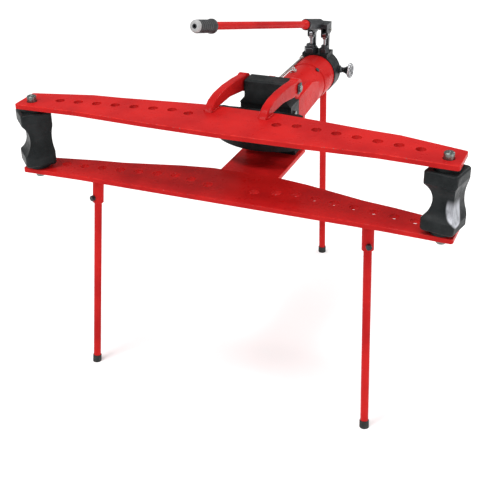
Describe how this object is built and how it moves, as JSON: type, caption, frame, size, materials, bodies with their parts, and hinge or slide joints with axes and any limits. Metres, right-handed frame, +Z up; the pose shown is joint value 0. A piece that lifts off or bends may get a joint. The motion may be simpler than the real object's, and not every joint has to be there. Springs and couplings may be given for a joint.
{
  "type": "tube bender",
  "caption": "Hand-pumped hydraulic tube bender on three legs, with two long wings, swivel support blocks, a curved former and a pump lever.",
  "frame": {"origin": "on the floor under the middle of the bounding box", "axes": "+X along the wings to the valve wheel's side, +Y from the wings back to the pump, +Z up"},
  "size_m": [1.1544, 0.8549, 0.9774],
  "materials": {
    "red_paint": "glossy sprayed enamel",
    "black_casting": "blackened casting",
    "dark_steel": "blued steel",
    "bright_steel": "zinc plated or turned",
    "chrome": "polished",
    "black_rubber": "matt",
    "grip_plastic": "ribbed moulding",
    "pale_plastic": "smooth moulding",
    "bronze": "turned bronze"
  },
  "bodies": {
    "frame": {"bottom_wing_plate": "red_paint", "cradle_tongue": "red_paint", "tongue_weld": "red_paint", "cheek_left": "red_paint", "cheek_right": "red_paint", "head_casting": "black_casting", "head_bolts": "bright_steel", "hinge_pin": "bright_steel", "hinge_keepers": "dark_steel", "rod_bush": "bronze", "rod_seal": "black_rubber", "oil_drum": "red_paint", "cylinder_barrel": "bright_steel", "drum_band": "red_paint", "bleed_plug": "bright_steel", "level_plug": "dark_steel", "return_line": "bright_steel", "return_line_nuts": "bright_steel", "return_spring": "bright_steel", "pump_head": "black_casting", "pump_head_bolts": "bright_steel", "pump_barrel_left": "dark_steel", "pump_barrel_right": "dark_steel", "fulcrum_posts": "dark_steel", "fulcrum_pin": "bright_steel", "valve_nut": "dark_steel", "support_pin_left": "bright_steel", "support_pin_right": "bright_steel", "pin_collars": "bright_steel", "leg_socket_left": "red_paint", "leg_socket_right": "red_paint", "leg_screws": "dark_steel", "leg_left": "red_paint", "leg_right": "red_paint", "leg_rear": "red_paint", "foot_left": "black_rubber", "foot_right": "black_rubber", "foot_rear": "black_rubber"},
    "top_wing": {"top_wing_plate": "red_paint", "arm_left": "red_paint", "arm_right": "red_paint"},
    "ram": {"ram_rod": "chrome", "piston": "bright_steel", "piston_seal": "black_rubber"},
    "former": {"former": "black_casting"},
    "support_block_left": {"support_block_left": "black_casting"},
    "support_block_right": {"support_block_right": "black_casting"},
    "pump_lever": {"lever_yoke": "dark_steel", "lever_tube": "red_paint", "lever_ring": "pale_plastic", "lever_grip": "grip_plastic", "grip_cap": "pale_plastic"},
    "plunger_left": {"plunger_left": "chrome"},
    "plunger_right": {"plunger_right": "chrome"},
    "release_valve": {"valve_spindle": "chrome", "valve_handwheel": "chrome"}
  },
  "joints": [
    {"name": "ram_extend", "type": "slide", "parent": "frame", "child": "ram", "axis": [0, -1, 0], "range_m": [0, 0.22], "stiffness_N_per_m": 500, "springref_m": -0.05, "deforming": ["return_spring"]},
    {"name": "former_slide", "type": "slide", "parent": "ram", "child": "former", "axis": [0, -1, 0], "range_m": [0, 0.03]},
    {"name": "top_wing_lift", "type": "hinge", "parent": "frame", "child": "top_wing", "pos_m": [0, -0.0756, 0.745], "axis": [-1, 0, 0], "range_deg": [0, 30]},
    {"name": "support_block_left_swivel", "type": "hinge", "parent": "frame", "child": "support_block_left", "pos_m": [-0.5285, -0.3766, 0.648], "axis": [0, 0, 1], "continuous": true},
    {"name": "support_block_right_swivel", "type": "hinge", "parent": "frame", "child": "support_block_right", "pos_m": [0.5285, -0.3766, 0.648], "axis": [0, 0, 1], "continuous": true},
    {"name": "lever_rock", "type": "hinge", "parent": "frame", "child": "pump_lever", "pos_m": [0, 0.3424, 0.7735], "axis": [-1, 0, 0], "range_deg": [0, 35]},
    {"name": "plunger_left_slide", "type": "slide", "parent": "frame", "child": "plunger_left", "axis": [0, 0, 1], "range_m": [0, 0.01504]},
    {"name": "plunger_right_slide", "type": "slide", "parent": "frame", "child": "plunger_right", "axis": [0, 0, 1], "range_m": [0, 0.01504]},
    {"name": "valve_turn", "type": "hinge", "parent": "frame", "child": "release_valve", "pos_m": [0.06, 0.3394, 0.6585], "axis": [1, 0, 0], "range_deg": [0, 360]}
  ],
  "couplings": [
    {"joint": "plunger_left_slide", "follows": "lever_rock", "m_per_rad": 0.02461},
    {"joint": "plunger_right_slide", "follows": "lever_rock", "m_per_rad": 0.02461}
  ]
}
